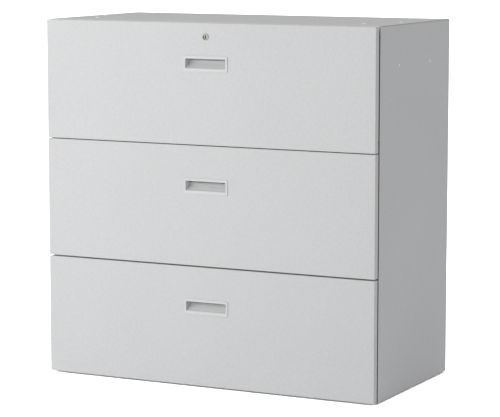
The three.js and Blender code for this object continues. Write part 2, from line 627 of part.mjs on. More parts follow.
LEVELS.forEach((level, index) => {
  const drawer = new THREE.Group();
  drawer.position.z = FRONTS_BOTTOM_Z + index * FRONT_PITCH;
  cabinet.add(drawer);
  place(drawer, `${level}_front_shell`, frontShell(level), PAINT);
  place(drawer, `${level}_front_liner`, frontLiner(level), PAINT);
  place(drawer, `${level}_pull`, pull(), PULL_PLASTIC);
  place(drawer, `${level}_tray`, tray(), PAINT);
  place(drawer, `${level}_hanger_frame`, hangerFrame(), ZINC);
  for (const [hand, side] of Object.entries(SIDES)) {
    place(drawer, `${level}_${hand}_outer_slide`, outerSlide(side), ZINC);
    place(drawer, `${level}_${hand}_middle_slide`, middleSlide(side), ZINC);
    place(drawer, `${level}_${hand}_inner_slide`, innerSlide(side), ZINC);
  }
  if (level === 'top') {
    place(drawer, 'lock_housing', lockHousing(), NICKEL);
    place(drawer, 'lock_nut', lockNut(), ZINC);
    place(drawer, 'lock_plug', lockPlug(), NICKEL);
    place(drawer, 'lock_cam', lockCam(), ZINC);
  }
});

export default cabinet;
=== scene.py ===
# %% [markdown]
# # A lateral filing cabinet
# A steel office cabinet with three wide drawers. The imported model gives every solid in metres, with the fronts
# facing -Y and the floor at zero, so each piece below is drawn where its solid is. Folded sheet, moulded plastic
# and turned metal differ most along their edges. The solids that show are therefore redrawn with real bends and
# roundings, and the hidden ones keep their solid under a better finish.

# %% Load the frame
import math

import bmesh
import bpy
from mathutils import Matrix, Vector


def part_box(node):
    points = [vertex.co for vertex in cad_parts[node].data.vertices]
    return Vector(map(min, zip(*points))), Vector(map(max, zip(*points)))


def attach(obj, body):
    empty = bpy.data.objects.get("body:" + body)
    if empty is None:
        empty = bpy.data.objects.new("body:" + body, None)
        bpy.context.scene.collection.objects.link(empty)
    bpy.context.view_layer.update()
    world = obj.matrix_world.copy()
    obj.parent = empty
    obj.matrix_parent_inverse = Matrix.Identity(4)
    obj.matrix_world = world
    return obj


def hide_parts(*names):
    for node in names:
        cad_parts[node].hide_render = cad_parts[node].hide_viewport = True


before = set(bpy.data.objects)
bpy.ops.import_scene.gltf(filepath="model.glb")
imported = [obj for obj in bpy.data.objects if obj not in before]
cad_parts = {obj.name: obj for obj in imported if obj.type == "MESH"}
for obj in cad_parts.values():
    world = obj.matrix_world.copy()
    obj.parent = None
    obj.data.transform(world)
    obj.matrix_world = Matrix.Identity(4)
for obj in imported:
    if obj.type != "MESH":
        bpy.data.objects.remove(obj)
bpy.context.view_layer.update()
scene = bpy.context.scene
scene.view_settings.view_transform = "Standard"
print("solids loaded:", len(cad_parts))

# %% [markdown]
# ## Camera
# The photograph was taken with a long lens from the front right, a little above the middle of the cabinet. The
# lens, place and tilt below come from fitting a camera to the edges of the fronts and of the case at the chosen size.
# A camera could also be aimed with a Track To constraint, but plain angles keep the fit readable.

# %% Set up the camera
PHOTO_WIDTH = 500
FOCAL_PIXELS = 2199.7
SENSOR_MM = 36
YAW, PITCH = 26.872, 7.463
CAMERA_PLACE = (2.4434, -4.8121, 1.1189)
FAR_CLIP = 300  # beyond the whole floor

lens = bpy.data.cameras.new("camera")
lens.sensor_width = SENSOR_MM
lens.lens = FOCAL_PIXELS / PHOTO_WIDTH * SENSOR_MM
lens.clip_end = FAR_CLIP
camera = bpy.data.objects.new("camera", lens)
camera.location = CAMERA_PLACE
camera.rotation_euler = (math.radians(90 - PITCH), 0, math.radians(YAW))
scene.collection.objects.link(camera)
scene.camera = camera
print(f"lens {lens.lens:.1f} mm")

# %% [markdown]
# ## Colours and nodes
# A finish is a small tree of shader nodes. Colours are written as the hex values that a screen shows, and one
# function turns them into the linear values that Blender computes with. One function adds a node, so that each
# finish below reads as a short recipe.

# %% Colour and node helpers
MIX_A, MIX_B, MIX_OUT = 6, 7, 2  # the colour sockets of a Mix node


def linear(hex_colour):
    """A screen colour such as #d8dadb as linear red, green, blue and alpha."""
    shown = [int(hex_colour[i:i + 2], 16) / 255 for i in (1, 3, 5)]
    return [c / 12.92 if c <= 0.04045 else ((c + 0.055) / 1.055) ** 2.4 for c in shown] + [1]


def add_node(tree, kind, values=None, links=None, **settings):
    """A node with its settings, the values of its sockets, and the outputs that feed them."""
    node = tree.nodes.new(kind)
    for name, value in settings.items():
        setattr(node, name, value)
    for socket, value in (values or {}).items():
        node.inputs[socket].default_value = value
    for socket, output in (links or {}).items():
        tree.links.new(output, node.inputs[socket])
    return node


def seen_directly(tree):
    """1 for what the camera, a mirror or glass sees, and 0 for light on its way to a matt surface."""
    path = add_node(tree, "ShaderNodeLightPath").outputs
    seen = add_node(tree, "ShaderNodeMath", links={0: path["Is Camera Ray"], 1: path["Is Glossy Ray"]},
                    operation="MAXIMUM")
    seen = add_node(tree, "ShaderNodeMath", links={0: seen.outputs[0], 1: path["Is Transmission Ray"]},
                    operation="MAXIMUM")
    return seen.outputs[0]


print("front colour in linear light:", [round(c, 3) for c in linear("#d8d9da")])

# %% [markdown]
# ## Light and floor
# The photograph has soft light from the front left: the fronts are brightest at the upper left, the top is darker
# and the right side darkest, and only a thin shadow lies under the lips of the pulls. So the main light is wide, low
# and near, which one rectangular area lamp gives, and an even world gives the rest. The world looks white to the
# camera and in reflections, but lights the cabinet at about half that strength, so that the side stays grey. A weak
# second softbox stands behind, lower than the top, where it shows the relief of the back and nothing in the picture.

# %% World, softboxes and floor
AMBIENT = 0.54
SOFTBOXES = {  # watts, place, size and what each is aimed at
    "strip_softbox": (47, (-1.45, -2.6, 1.5), (3.2, 0.8), (0, -0.22, 0.45)),
    "back_softbox": (10, (-1.3, 1.9, 0.5), (0.5, 0.6), (0.1, 0.22, 0.45)),
}
FLOOR_HALF = 90
FLOOR_SHOWN = 3.2  # the floor's colour to the camera, bright enough that only close shadows stay

world = bpy.data.worlds.new("studio")
scene.world = world
world.use_nodes = True
sky = world.node_tree
strength = add_node(sky, "ShaderNodeMath", {1: 1 - AMBIENT, 2: AMBIENT}, {0: seen_directly(sky)},
                    operation="MULTIPLY_ADD")
sky.links.new(strength.outputs[0], sky.nodes["Background"].inputs["Strength"])
sky.nodes["Background"].inputs["Color"].default_value = linear("#ffffff")

for name, (watts, place, size, aim) in SOFTBOXES.items():
    lamp = bpy.data.lights.new(name, "AREA")
    lamp.shape = "RECTANGLE"
    lamp.size, lamp.size_y = size
    lamp.energy = watts
    softbox = bpy.data.objects.new(name, lamp)
    softbox.location = place
    softbox.rotation_euler = (Vector(aim) - Vector(place)).to_track_quat("-Z", "Y").to_euler()
    scene.collection.objects.link(softbox)

floor_mesh = bpy.data.meshes.new("floor")
corners = [(x * FLOOR_HALF, y * FLOOR_HALF, 0) for x, y in ((-1, -1), (1, -1), (1, 1), (-1, 1))]
floor_mesh.from_pydata(corners, [], [(0, 1, 2, 3)])
floor = bpy.data.objects.new("floor", floor_mesh)
scene.collection.objects.link(floor)

paper = bpy.data.materials.new("white_paper_floor")
paper.use_nodes = True
tree = paper.node_tree
tree.nodes.remove(tree.nodes["Principled BSDF"])
lights = add_node(tree, "ShaderNodeBsdfDiffuse", {"Color": linear("#f0f2f5")})
shows = add_node(tree, "ShaderNodeBsdfDiffuse", {"Color": [FLOOR_SHOWN] * 3 + [1]})
both = add_node(tree, "ShaderNodeMixShader",
                links={0: seen_directly(tree), 1: lights.outputs[0], 2: shows.outputs[0]})
tree.links.new(both.outputs[0], tree.nodes["Material Output"].inputs["Surface"])
floor_mesh.materials.append(paper)
print("softboxes:", *SOFTBOXES, "on a floor", 2 * FLOOR_HALF, "m wide")

# %% [markdown]
# ## Powder-coated steel
# The case, fronts and trays are sheet steel with a light grey polyester powder coat, baked on. It gives the eye an
# even, nearly matt surface with a faint orange peel and no brush marks. A fine noise makes the peel, as bump and as a
# weak mottle, and a wide one stands for the small change of film thickness that slightly shifts tone and gloss.

# %% Powder coat
PEEL_MM = 7  # real peel is about 1.5 mm, too fine to show at this distance
CLOUD_MM = 260
PEEL_SHARE = 0.7  # of the mottle
GLOSS_SWING = 0.05


def per_metre(millimetres):
    """The noise scale that gives features of a real size."""
    return 1000 / millimetres


def new_finish(name):
    material = bpy.data.materials.new(name)
    material.use_nodes = True
    tree = material.node_tree
    place = add_node(tree, "ShaderNodeTexCoord").outputs["Object"]
    return material, tree, tree.nodes["Principled BSDF"], place


def powder_coat(name, pale, deep, roughness):
    material, tree, shader, place = new_finish(name)
    cloud = add_node(tree, "ShaderNodeTexNoise", {"Scale": per_metre(CLOUD_MM), "Detail": 3.0},
                     {"Vector": place}).outputs["Fac"]
    peel = add_node(tree, "ShaderNodeTexNoise", {"Scale": per_metre(PEEL_MM), "Detail": 1.5},
                    {"Vector": place}).outputs["Fac"]
    mottle = add_node(tree, "ShaderNodeMix", {0: PEEL_SHARE}, {2: cloud, 3: peel}).outputs[0]
    tone = add_node(tree, "ShaderNodeMix", {MIX_A: linear(pale), MIX_B: linear(deep)}, {0: mottle},
                    data_type="RGBA")
    gloss = add_node(tree, "ShaderNodeMapRange",
                     {"To Min": roughness - GLOSS_SWING, "To Max": roughness + GLOSS_SWING}, {"Value": cloud})
    bump = add_node(tree, "ShaderNodeBump", {"Strength": 0.12, "Distance": 0.0004}, {"Height": peel})
    tree.links.new(tone.outputs[MIX_OUT], shader.inputs["Base Color"])
    tree.links.new(gloss.outputs["Result"], shader.inputs["Roughness"])
    tree.links.new(bump.outputs["Normal"], shader.inputs["Normal"])
    shader.inputs["IOR"].default_value = 1.5
    shader.inputs["Specular IOR Level"].default_value = 0.12
    return material


powder_coated_steel = powder_coat("powder_coated_steel", "#dbdbdb", "#cbcbcb", 0.68)
powder_coated_tray = powder_coat("powder_coated_tray", "#dadbdc", "#cacbcc", 0.55)
print("finishes:", powder_coated_steel.name, powder_coated_tray.name)

# %% [markdown]
# ## Moulded plastics and rubber
# The pulls are injection-moulded ABS in the colour of the paint: a fine spark-eroded grain and a soft sheen. The
# plugs are white polyethylene, a little waxy. The feet are black polyamide and the buffers black rubber. All four
# share one recipe of a fine grain that drives bump and a little of the roughness.

# %% Plastics
SHEEN_SWING = 0.08
PLASTIC_IOR = 1.53


def moulded(name, colour, speck, roughness, grain_mm, depth):
    material, tree, shader, place = new_finish(name)
    grain = add_node(tree, "ShaderNodeTexNoise", {"Scale": per_metre(grain_mm), "Detail": 4.0},
                     {"Vector": place}).outputs["Fac"]
    tone = add_node(tree, "ShaderNodeMix", {MIX_A: linear(colour), MIX_B: linear(speck)}, {0: grain},
                    data_type="RGBA")
    sheen = add_node(tree, "ShaderNodeMapRange",
                     {"To Min": roughness - SHEEN_SWING, "To Max": roughness + SHEEN_SWING}, {"Value": grain})
    bump = add_node(tree, "ShaderNodeBump", {"Strength": depth, "Distance": 0.0002}, {"Height": grain})
    tree.links.new(tone.outputs[MIX_OUT], shader.inputs["Base Color"])
    tree.links.new(sheen.outputs["Result"], shader.inputs["Roughness"])
    tree.links.new(bump.outputs["Normal"], shader.inputs["Normal"])
    return material


moulded_abs = moulded("moulded_abs", "#d0d1d1", "#cccccc", 0.42, 1.2, 0.12)
white_polyethylene = moulded("white_polyethylene", "#f6f6f3", "#efefeb", 0.5, 2.0, 0.08)
black_polyamide = moulded("black_polyamide", "#1d1e20", "#26272a", 0.6, 1.5, 0.3)
black_rubber = moulded("black_rubber", "#2a2b2c", "#323335", 0.8, 1.0, 0.4)
for finish in (white_polyethylene, moulded_abs, black_polyamide):
    finish.node_tree.nodes["Principled BSDF"].inputs["IOR"].default_value = PLASTIC_IOR
print("finishes:", moulded_abs.name, white_polyethylene.name, black_polyamide.name, black_rubber.name)

# %% [markdown]
# ## Plated metals
# The lock is nickel-plated brass, turned on a lathe: a warm white metal with fine rings. The uprights and small
# steel parts are galvanised sheet, whose zinc crystals give a patchy spangle. The slides are cold-drawn steel with
# bright zinc, streaked along their length. Each is a metal, so its colour is its reflection, and the pattern goes
# into tone and roughness. All three base colours are set darker than the bare metals. That is painted shade for a
# darker room in their reflections, since the world here shows white.

# %% Plated metals
LOCK_LOW, LOCK_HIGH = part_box("lock_housing")
LOCK_AXIS = (LOCK_LOW + LOCK_HIGH) / 2
RING_MM = 0.9  # tool marks, drawn coarser than the real 0.1 mm so that they show
WAVE_UNIT = 20 / math.tau  # waves of a Wave node in a length of one, at scale 1
SPANGLE_MM = 9
STREAK_MM = 1.5


def plated(name, colour, roughness):
    material, tree, shader, place = new_finish(name)
    shader.inputs["Base Color"].default_value = linear(colour)
    shader.inputs["Metallic"].default_value = 1.0
    shader.inputs["Roughness"].default_value = roughness
    return material, tree, shader, place


# base colour darker than nickel: painted shade for the dark surroundings that the lock would reflect
nickel_plated_brass, tree, shader, place = plated("nickel_plated_brass", "#8c8a86", 0.3)
centred = add_node(tree, "ShaderNodeMapping", {"Location": [-c for c in LOCK_AXIS]}, {"Vector": place})
rings = add_node(tree, "ShaderNodeTexWave", {"Scale": per_metre(RING_MM) / WAVE_UNIT, "Distortion": 0.4},
                 {"Vector": centred.outputs[0]}, wave_type="RINGS", rings_direction="Y")
turn_marks = add_node(tree, "ShaderNodeBump", {"Strength": 0.1, "Distance": 0.0001},
                      {"Height": rings.outputs["Fac"]})
tree.links.new(turn_marks.outputs["Normal"], shader.inputs["Normal"])

# base colour and spangle tones darker than zinc: painted shade for darker surroundings in the reflection
galvanised_steel, tree, shader, place = plated("galvanised_steel", "#979b9e", 0.4)
spangle = add_node(tree, "ShaderNodeTexVoronoi", {"Scale": per_metre(SPANGLE_MM)}, {"Vector": place})
flake = add_node(tree, "ShaderNodeSeparateColor", links={0: spangle.outputs["Color"]}).outputs[0]
shine = add_node(tree, "ShaderNodeMapRange", {"To Min": 0.32, "To Max": 0.5}, {"Value": flake})
tone = add_node(tree, "ShaderNodeMix", {MIX_A: linear("#8f9396"), MIX_B: linear("#a3a7a9")}, {0: flake},
                data_type="RGBA")
tree.links.new(shine.outputs["Result"], shader.inputs["Roughness"])
tree.links.new(tone.outputs[MIX_OUT], shader.inputs["Base Color"])

# base colour darker than bright zinc: painted shade for darker surroundings in the reflection
bright_zinc_steel, tree, shader, place = plated("bright_zinc_steel", "#93979a", 0.36)
stretched = add_node(tree, "ShaderNodeMapping", {"Scale": (1, 0.03, 1)}, {"Vector": place})
streak = add_node(tree, "ShaderNodeTexNoise", {"Scale": per_metre(STREAK_MM), "Detail": 3.0},
                  {"Vector": stretched.outputs[0]}).outputs["Fac"]
shine = add_node(tree, "ShaderNodeMapRange", {"To Min": 0.24, "To Max": 0.46}, {"Value": streak})
drawn = add_node(tree, "ShaderNodeBump", {"Strength": 0.15, "Distance": 0.0002}, {"Height": streak})
tree.links.new(shine.outputs["Result"], shader.inputs["Roughness"])
tree.links.new(drawn.outputs["Normal"], shader.inputs["Normal"])
print("finishes:", nickel_plated_brass.name, galvanised_steel.name, bright_zinc_steel.name)

# %% [markdown]
# ## Making meshes
# All pieces are drawn in millimetres with bmesh and scaled to metres at the end. Three ways of making cover the
# whole cabinet: a loft joins loops of points, a folded sheet follows a bent line, and a turned piece goes round an
# axis. Boolean cuts would also do, but these leave clean faces whose roundings catch light. A Weighted Normal
# modifier keeps the large flats flat next to their small bends.

# %% Lofts and filled faces
MM = 0.001


def box_mm(node):
    """Lowest and highest corner of a solid, in millimetres."""
    return [[value / MM for value in corner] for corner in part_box(node)]


def ring_faces(bm, first, second):
    """A belt of faces between two rings of points."""
    for i in range(len(first)):
        j = (i + 1) % len(first)
        bm.faces.new((first[i], first[j], second[j], second[i]))


def loft(bm, loops, closed_ends=True):
    """A skin over loops of points that all have the same count."""
    rings = [[bm.verts.new(point) for point in loop] for loop in loops]
    for first, second in zip(rings, rings[1:]):
        ring_faces(bm, first, second)
    if closed_ends:
        bm.faces.new(rings[0])
        bm.faces.new(rings[-1])
    return rings


def fill(bm, rings):
    """A flat face inside the first ring, open inside the others."""
    edges = []
    for ring in rings:
        for a, b in zip(ring, ring[1:] + ring[:1]):
            edges.append(bm.edges.get((a, b)) or bm.edges.new((a, b)))
    bmesh.ops.triangle_fill(bm, edges=edges, use_beauty=True)


# %% Outlines and arcs
def rounded_outline(left, right, low, high, corner, steps=6):
    """A rectangle with round corners, as points in two dimensions."""
    points = []
    centres = ((right - corner, high - corner), (left + corner, high - corner),
               (left + corner, low + corner), (right - corner, low + corner))
    for quarter, (u, v) in enumerate(centres):
        for step in range(steps + 1):
            angle = math.radians(90 * (quarter + step / steps))
            points.append((u + corner * math.cos(angle), v + corner * math.sin(angle)))
    return points


def arc_steps(steps):
    """Angles from 0 to 90 degrees."""
    return [math.radians(90 * step / steps) for step in range(steps + 1)]


print("points in a rounded outline:", len(rounded_outline(0, 2, 0, 2, 1)))

# %% From a drawing to a piece
SHARP = math.radians(38)
EMPTY = 1e-4  # mm, an edge without length, where a bend ends at the edge of its sheet


def piece(bm, name, finish, body, slot, *nodes):
    """Turns a drawing into a piece that rides on a body and stands for its solids."""
    bmesh.ops.dissolve_degenerate(bm, dist=EMPTY, edges=bm.edges)
    bmesh.ops.recalc_face_normals(bm, faces=bm.faces)
    bm.transform(Matrix.Scale(MM, 4))
    mesh = bpy.data.meshes.new(name)
    bm.to_mesh(mesh)
    bm.free()
    mesh.materials.append(finish)
    mesh.shade_smooth()
    mesh.set_sharp_from_angle(angle=SHARP)
    made = bpy.data.objects.new(name, mesh)
    scene.collection.objects.link(made)
    made.modifiers.new("flat_faces", "WEIGHTED_NORMAL").keep_sharp = True
    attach(made, body)
    if nodes:
        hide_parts(*nodes)
    print(f"{name}: {len(mesh.polygons)} faces")


print(f"edges sharper than {math.degrees(SHARP):.0f} degrees stay sharp")

# %% [markdown]
# ## Folded sheet
# Nearly everything here is 1 mm steel folded on a press brake. A bend has an inside radius of about the sheet's own
# thickness, so its outside is a soft line and never a razor edge. Extruding a bent outline shows this exactly, where
# a Bevel modifier on a thin solid would have to stop at half the sheet.

# %% Folded sheet helper
SHEET = 1.0
BEND = 1.0  # inside radius
BEND_STEPS = 5


def in_plan(u, v, w):
    return u, v, w


def along_x(u, v, w):
    return w, u, v


def along_y(u, v, w):
    return u, w, v


def bent_face(path, shift, gauge, bend):
    """One face of a folded sheet: the path moved to its left by shift, with an arc in every bend."""
    ways = [(b - a).normalized() for a, b in zip(path, path[1:])]
    lefts = [Vector((-way.y, way.x)) for way in ways]
    points = [path[0] + shift * lefts[0]]
    for i, corner in enumerate(path[1:-1]):
        turn = math.atan2(ways[i].cross(ways[i + 1]), ways[i].dot(ways[i + 1]))
        on_outside = ((turn > 0) == (gauge > 0)) == (shift == 0)
        radius = bend + abs(gauge) if on_outside else bend
        corner = corner + shift * (lefts[i] + lefts[i + 1]) / (1 + lefts[i].dot(lefts[i + 1]))
        start = corner - ways[i] * radius * math.tan(abs(turn) / 2)
        inward = lefts[i] * math.copysign(radius, turn)
        for step in range(BEND_STEPS + 1):
            points.append(start + inward - Matrix.Rotation(turn * step / BEND_STEPS, 2) @ inward)
    points.append(path[-1] + shift * lefts[-1])
    return points


def folded(bm, path, gauge, span, place, bend=BEND):
    """Sheet folded along a path and drawn out over a span. A gauge above 0 lies to the left of the path."""
    path = [Vector(point) for point in path]
    outer, inner = (bent_face(path, shift, gauge, bend) for shift in (0, gauge))
    ends = []
    for w in span:
        front, back = ([bm.verts.new(place(u, v, w)) for u, v in line] for line in (outer, inner))
        for i in range(len(front) - 1):
            bm.faces.new((front[i], front[i + 1], back[i + 1], back[i]))
        ends.append(front + back[::-1])
    ring_faces(bm, *ends)


print("outside radius of a bend:", SHEET + BEND, "mm")

# %% [markdown]
# ## Side panels
# Each side is one sheet. Its front edge is cut plain, and the paint rounds it off. The flange that closes the case
# stands 13 mm further back, so the gap behind the drawer fronts looks into a deep corner and shows as a dark line.
# The sheet also turns in at the back and under the top. A Bevel on the two long front edges gives the round nose.

# %% Side panels
TOP_FLANGE = 12
REAR_FLANGE = 15
FLANGE_LEG = 12
CORNER_RELIEF = 1.3  # the flange under the top starts behind the fold of the top panel
NOSE_ROUND = 0.35
AT_NOSE = 0.01
HAIR = 0.02  # between two skins that would touch, so that each stays closed
FLANGE_CLEARANCE, FLANGE_SHORT = 0.05, 0.1  # the welded front flange beside the wall and under the shoulder

flange_y = box_mm("upper_divider_rail")[0][1]
for hand, side in (("left", -1), ("right", 1)):
    node = f"{hand}_side_panel"
    low, high = box_mm(node)
    nose, rear, shoulder = low[1], high[1], high[2] - SHEET - BEND
    outer = side * max(abs(low[0]), abs(high[0]))
    flange_edge = side * min(abs(low[0]), abs(high[0]))
    bm = bmesh.new()
    wall = [(outer, nose), (outer, rear), (outer - side * REAR_FLANGE, rear)]
    folded(bm, wall, side * SHEET, (low[2], shoulder - HAIR), in_plan)
    stub = [(outer, nose), (outer, nose + CORNER_RELIEF - HAIR)]
    folded(bm, stub, side * SHEET, (shoulder, high[2]), in_plan)
    front_edges = [edge for edge in bm.edges if all(vert.co.y < nose + AT_NOSE for vert in edge.verts)
                   and edge.calc_length() > SHEET * 1.5]
    bmesh.ops.bevel(bm, geom=front_edges, offset=NOSE_ROUND, segments=3, profile=0.5, affect="EDGES")
    inner = outer - side * (SHEET + FLANGE_CLEARANCE)
    flange = [(inner, flange_y + FLANGE_LEG), (inner, flange_y), (flange_edge, flange_y)]
    folded(bm, flange, -side * SHEET, (low[2], shoulder - FLANGE_SHORT), in_plan)
    roof = [(outer, shoulder), (outer, high[2]), (outer - side * TOP_FLANGE, high[2])]
    folded(bm, roof, side * SHEET, (nose + CORNER_RELIEF, rear - SHEET - BEND), along_y)
    piece(bm, f"{hand}_side", powder_coated_steel, "case", "case_paint", node)

# %% [markdown]
# ## Top panel
# The top lies on the flanges of the sides. Its front and rear edges are folded down between them, with small
# reliefs at the ends of the bends, and four round holes take plugs. A flat sheet with round openings is filled from
# its outline, and the two folded edges meet it where their bends end.

# %% Top panel
HOLE_CLEARANCE = 0.3
PLUG_RADIUS = 5
FRONT_FOLD_INSET, REAR_FOLD_INSET = 1.3, 15.3
LID_FRONT_DROP = 11
LID_REAR_DROP = 15
ROUND_STEPS = 32

PLUGS = [f"top_plug_{number}" for number in (1, 2, 3, 4)]


def circle(u, v, radius, steps=ROUND_STEPS):
    angles = [2 * math.pi * step / steps for step in range(steps)]
    return [(u + radius * math.cos(a), v + radius * math.sin(a)) for a in angles]


def middle_of(node):
    low, high = box_mm(node)
    return [(a + b) / 2 for a, b in zip(low, high)]


def flat_sheet(bm, outlines, levels, place):
    """A flat sheet between two levels. The first outline is its edge and the others are openings in it."""
    skins = []
    for w in levels:
        rings = [[bm.verts.new(place(u, v, w)) for u, v in outline] for outline in outlines]
        fill(bm, rings)
        skins.append(rings)
    for first, second in zip(*skins):
        ring_faces(bm, first, second)


low, high = box_mm("top_panel")
bm = bmesh.new()
turn = SHEET + BEND
half, front_half, rear_half = high[0], high[0] - FRONT_FOLD_INSET, high[0] - REAR_FOLD_INSET
front, rear = low[1], high[1]
front_cut, rear_cut = front + turn + HAIR, rear - turn - HAIR
lid = [(-half, front), (-front_half, front), (-front_half, front_cut), (front_half, front_cut),
       (front_half, front), (half, front), (half, rear), (rear_half, rear), (rear_half, rear_cut),
       (-rear_half, rear_cut), (-rear_half, rear), (-half, rear)]
holes = [circle(*middle_of(plug)[:2], PLUG_RADIUS + HOLE_CLEARANCE) for plug in PLUGS]
flat_sheet(bm, [lid, *holes], (high[2] - SHEET, high[2]), in_plan)
front_edge = [(front, high[2] - LID_FRONT_DROP), (front, high[2]), (front + turn, high[2])]
rear_edge = [(rear, high[2] - LID_REAR_DROP), (rear, high[2]), (rear - turn, high[2])]
folded(bm, front_edge, -SHEET, (HAIR - front_half, front_half - HAIR), along_x)
folded(bm, rear_edge, SHEET, (HAIR - rear_half, rear_half - HAIR), along_x)
piece(bm, "top_sheet", powder_coated_steel, "case", "case_paint", "top_panel")

# %% [markdown]
# ## Back panel and rails
# The back is a flat sheet with a shallow pressed field, which keeps a large thin sheet from drumming. The two
# dividers behind the seams are channels that open to the back, and the uprights inside the sides are heavier
# channels of galvanised steel.

# %% Back panel
BACK_INSET = 2.5  # leaves the bends of the sides in view
FIELD_MARGIN = 60
FIELD_SLOPE = 5
FIELD_DEPTH = 7
BACK_EDGE, BACK_CORNER = 0.3, 1.0
CORNER_START, CORNER_GROWTH = 20, 0.4  # the corners grow round from this far outside the field

low, high = box_mm("back_panel")
bm = bmesh.new()


def back_loop(inset, y):
    corner = BACK_CORNER + CORNER_GROWTH * max(inset - FIELD_MARGIN + CORNER_START, 0)
    inset += BACK_INSET
    outline = rounded_outline(low[0] + inset, high[0] - inset, low[2] + inset, high[2] - inset, corner)
    return [(x, y, z) for x, z in outline]


inner, outer = low[1], high[1]
step_in = FIELD_MARGIN + FIELD_SLOPE
loft(bm, [back_loop(step_in, inner - FIELD_DEPTH), back_loop(FIELD_MARGIN, inner), back_loop(BACK_EDGE, inner),
          back_loop(0, inner + BACK_EDGE), back_loop(0, outer - BACK_EDGE), back_loop(BACK_EDGE, outer),
          back_loop(FIELD_MARGIN, outer), back_loop(step_in, outer - FIELD_DEPTH)])
piece(bm, "back_sheet", powder_coated_steel, "case", "case_paint", "back_panel")

# %% Divider rails and uprights
POST_GAUGE = 1.5
RAIL_SHORT = 2  # at each end

for node in ("upper_divider_rail", "lower_divider_rail"):
    low, high = box_mm(node)
    bm = bmesh.new()
    channel = [(high[1], high[2]), (low[1], high[2]), (low[1], low[2]), (high[1], low[2])]
    folded(bm, channel, SHEET, (low[0] + RAIL_SHORT, high[0] - RAIL_SHORT), along_x)
    piece(bm, node.replace("_rail", ""), powder_coated_steel, "case", "case_paint", node)

for hand, side in (("left", -1), ("right", 1)):
    for end in ("front", "rear"):
        node = f"{hand}_{end}_upright"
        low, high = box_mm(node)
        web, open_edge = (high[0], low[0]) if side < 0 else (low[0], high[0])
        bm = bmesh.new()
        channel = [(open_edge, low[1]), (web, low[1]), (web, high[1]), (open_edge, high[1])]
        folded(bm, channel, -side * POST_GAUGE, (low[2], high[2]), in_plan, POST_GAUGE)
        piece(bm, f"{hand}_{end}_post", galvanised_steel, "case", "zinc_steel", node)

# %% [markdown]
# ## Drawer fronts
# A front is a pan of sheet steel 16 mm deep. Its four edges are folded back with a soft bend and welded at the
# corners, so the face runs round into its sides without a seam. The loft goes from the face round the bend to the
# rear edge and back along the inside. The face is then filled with openings for the pull and the lock. Two gaps are
# a little wider in the photograph than the others, so the fronts beside them are drawn slightly smaller.

# %% Drawer fronts
LEVELS = ("top", "middle", "bottom")
FRONT_BEND = 2.0
FRONT_CORNER = 2.2
LEAST_CORNER = 0.3
SEAM_SLACK = {  # how far the right, low and high edges of each front stand back
    "top": (0.6, 0, 0), "middle": (0, 0.6, 0), "bottom": (0, 0, 0.6),
}
CUP_HALF = 55.3  # opening for the cup of the pull
CUP_ABOVE, CUP_BELOW = 17.8, 15.8
LOCK_HOLE = 7.3


def front_openings(level):
    """Outlines of the openings in a front, in its own plane."""
    x, _, z = middle_of(f"{level}_pull")
    cup = [(x - CUP_HALF, z - CUP_BELOW), (x + CUP_HALF, z - CUP_BELOW),
           (x + CUP_HALF, z + CUP_ABOVE), (x - CUP_HALF, z + CUP_ABOVE)]
    if level != "top":
        return [cup]
    x, _, z = middle_of("lock_housing")
    return [cup, circle(x, z, LOCK_HOLE)]


for level in LEVELS:
    node = f"{level}_front_shell"
    low, high = box_mm(node)
    face, back = low[1], high[1]
    right_slack, low_slack, high_slack = SEAM_SLACK[level]
    left, right = low[0], high[0] - right_slack
    foot, head = low[2] + low_slack, high[2] - high_slack

    def edge_loop(inset, y):
        corner = max(FRONT_CORNER - inset, LEAST_CORNER)
        outline = rounded_outline(left + inset, right - inset, foot + inset, head - inset, corner)
        return [(x, y, z) for x, z in outline]

    bm = bmesh.new()
    soft_edge = [edge_loop(FRONT_BEND * (1 - math.sin(a)), face + FRONT_BEND * (1 - math.cos(a)))
                 for a in arc_steps(6)]
    rim = [edge_loop(0, back), edge_loop(SHEET, back), edge_loop(SHEET, face + SHEET)]
    rings = loft(bm, soft_edge + rim, closed_ends=False)
    skins = []
    for ring, y in ((rings[0], face), (rings[-1], face + SHEET)):
        holes = [[bm.verts.new((x, y, z)) for x, z in outline] for outline in front_openings(level)]
        fill(bm, [ring, *holes])
        skins.append(holes)
    for first, second in zip(*skins):
        ring_faces(bm, first, second)
    piece(bm, f"{level}_front", powder_coated_steel, f"{level}_drawer", "case_paint", node)

# %% [markdown]
# ## Recessed pulls
# The pull is a moulded cup that clips into the front: a flat rim 2 mm proud, a thin lip above, and a hollow for the
# fingers whose floor rises towards the back like a scoop. Behind the lip the hollow climbs, and above the scoop a
# pocket runs deeper, which gives the fingers a hold and keeps a dark line under the lip. The whole cup is one loft,
# from its back over the outside to the rim, round the rim's edges, over the lip, down the hollow and into the pocket.
# Insets that follow a quarter circle round every edge.

# %% The hollow of a pull
MOUTH_HALF, MOUTH_TOP, MOUTH_LOW = 53.0, 11.7, 8.9
MOUTH_CORNER = 2.0
SIDE_ROUND, LIP_ROUND, SILL_ROUND = 0.9, 0.9, 5.5
LIP_DEPTH = 4.0
HOOK_TOP = 16.0
FLOOR_RISE = 12.0
HOLLOW_DEPTH = 18.0
SCOOP_DEPTH, SCOOP_LOW, SCOOP_END, SCOOP_TOP = 5.0, 4.0, 0.6, 0.4
POCKET_DEPTH, POCKET_ROUND = 22.5, 1.2


def hollow_edges(depth):
    """How far the hollow reaches below and above the middle: its floor rises, and its top climbs behind the lip."""
    along = (depth - LIP_DEPTH) / (HOLLOW_DEPTH - LIP_DEPTH)
    climb = HOOK_TOP - MOUTH_TOP
    past = min((depth - LIP_DEPTH) / climb, 1)
    return MOUTH_LOW - FLOOR_RISE * along, MOUTH_TOP + climb * math.sqrt(1 - (1 - past) ** 2)


print("below and above the middle at the back of the hollow:", hollow_edges(HOLLOW_DEPTH), "mm")

